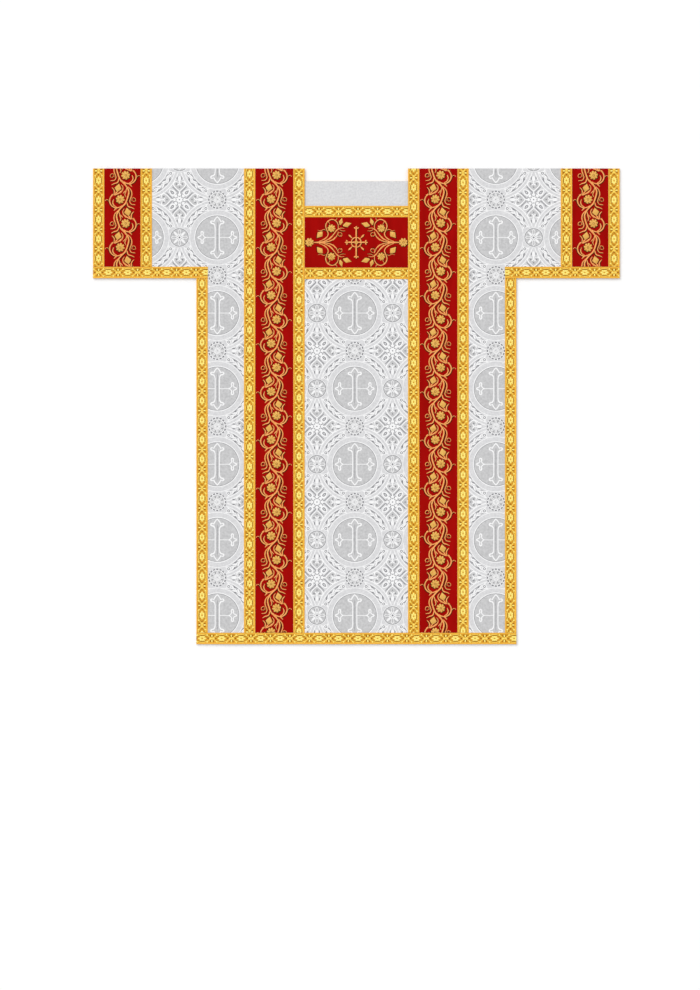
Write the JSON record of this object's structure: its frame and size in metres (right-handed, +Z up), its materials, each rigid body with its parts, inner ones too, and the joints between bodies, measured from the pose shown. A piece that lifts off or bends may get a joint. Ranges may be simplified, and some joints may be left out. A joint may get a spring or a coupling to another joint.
{
  "type": "tunicle",
  "caption": "T-shaped liturgical tunicle of white damask, laid flat front up, with red embroidered bands down the body, across the chest and round the sleeves, edged in gold galloon.",
  "frame": {"origin": "On the surface that the garment lies on, under the middle of its box.", "axes": "+X to the right of someone looking down at the front, from cuff to cuff; +Y from the hem to the shoulders; +Z up, out of the front."},
  "size_m": [1.1848, 1.0698, 0.0077],
  "materials": {
    "damask_white": "white on white figured damask, satin figure on a dull ground",
    "orphrey_red": "deep red ribbed cloth",
    "galloon_gold": "woven metallic gold braid with plain selvedges and a leaf and rosette figure",
    "embroidery_gold": "raised satin stitch in peach gold and yellow gold thread"
  },
  "bodies": {
    "root": {"back_centre_panel": "damask_white", "back_clavus_left": "orphrey_red", "back_clavus_left_galloon_inner": "galloon_gold", "back_clavus_left_galloon_outer": "galloon_gold", "back_clavus_right": "orphrey_red", "back_clavus_right_galloon_inner": "galloon_gold", "back_clavus_right_galloon_outer": "galloon_gold", "back_cross_band": "orphrey_red", "back_cross_band_galloon": "galloon_gold", "back_hem_galloon": "galloon_gold", "back_neck_galloon": "galloon_gold", "back_side_galloon_left": "galloon_gold", "back_side_galloon_right": "galloon_gold", "back_side_panel_left": "damask_white", "back_side_panel_right": "damask_white", "back_sleeve_band_left": "orphrey_red", "back_sleeve_band_left_galloon_inner": "galloon_gold", "back_sleeve_band_left_galloon_outer": "galloon_gold", "back_sleeve_band_right": "orphrey_red", "back_sleeve_band_right_galloon_inner": "galloon_gold", "back_sleeve_band_right_galloon_outer": "galloon_gold", "back_underarm_galloon_left": "galloon_gold", "back_underarm_galloon_right": "galloon_gold", "front_centre_panel": "damask_white", "front_clavus_left": "orphrey_red", "front_clavus_left_galloon_inner": "galloon_gold", "front_clavus_left_galloon_outer": "galloon_gold", "front_clavus_right": "orphrey_red", "front_clavus_right_galloon_inner": "galloon_gold", "front_clavus_right_galloon_outer": "galloon_gold", "front_cross_band": "orphrey_red", "front_cross_band_galloon": "galloon_gold", "front_hem_galloon": "galloon_gold", "front_neck_galloon": "galloon_gold", "front_side_galloon_left": "galloon_gold", "front_side_galloon_right": "galloon_gold", "front_side_panel_left": "damask_white", "front_side_panel_right": "damask_white", "front_sleeve_band_left": "orphrey_red", "front_sleeve_band_left_galloon_inner": "galloon_gold", "front_sleeve_band_left_galloon_outer": "galloon_gold", "front_sleeve_band_right": "orphrey_red", "front_sleeve_band_right_galloon_inner": "galloon_gold", "front_sleeve_band_right_galloon_outer": "galloon_gold", "front_underarm_galloon_left": "galloon_gold", "front_underarm_galloon_right": "galloon_gold"}
  },
  "joints": []
}
